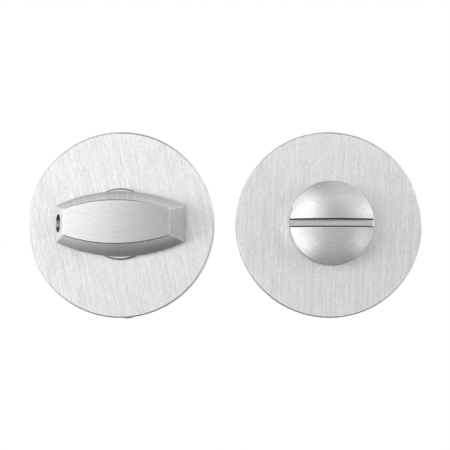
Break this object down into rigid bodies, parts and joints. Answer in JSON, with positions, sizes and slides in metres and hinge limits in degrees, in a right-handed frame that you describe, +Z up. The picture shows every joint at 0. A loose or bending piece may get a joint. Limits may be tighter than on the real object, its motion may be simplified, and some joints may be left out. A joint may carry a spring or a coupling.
{
  "type": "bathroom thumb turn lock",
  "caption": "Bathroom door lock in two halves: a barrel-shaped thumb turn with spindle and through bolts, and a domed emergency release with coin slot, each on a round rose.",
  "frame": {"origin": "where the thumb turn's axis meets the face of the door", "axes": "+Z up, +X from the turn to the release, +Y into the door; the knobs face -Y"},
  "size_m": [0.11, 0.0765, 0.0523],
  "materials": {
    "satin_steel": "satin stainless steel with a fine straight brush grain",
    "bright_steel": "bright zinc plated steel",
    "spring_steel": "dark phosphated spring steel",
    "cast_zinc": "die-cast zinc, as cast",
    "nylon": "natural nylon"
  },
  "bodies": {
    "root": {"turn_collar": "satin_steel", "turn_cover": "satin_steel", "turn_cover_screw": "bright_steel", "turn_bush": "nylon", "turn_thrust_washer": "bright_steel", "turn_inner_plate": "cast_zinc", "through_bolt_left": "bright_steel", "through_bolt_right": "bright_steel", "release_cover": "satin_steel", "release_cover_screw": "bright_steel", "release_bush": "nylon", "release_thrust_washer": "bright_steel", "release_inner_plate": "cast_zinc", "release_sleeve_left": "bright_steel", "release_sleeve_right": "bright_steel"},
    "turn": {"turn_knob": "satin_steel", "knob_set_screw": "bright_steel", "spindle": "bright_steel", "turn_retaining_ring": "spring_steel"},
    "release": {"release_button": "satin_steel", "release_retaining_ring": "spring_steel"}
  },
  "joints": [
    {"name": "turn_spin", "type": "hinge", "parent": "root", "child": "turn", "pos_m": [0, 0, 0], "axis": [0, -1, 0], "range_deg": [0, 90]},
    {"name": "release_spin", "type": "hinge", "parent": "root", "child": "release", "pos_m": [0.058, 0, 0], "axis": [0, -1, 0], "range_deg": [-90, 0]}
  ],
  "couplings": [
    {"joint": "release_spin", "follows": "turn_spin", "ratio": -1}
  ]
}
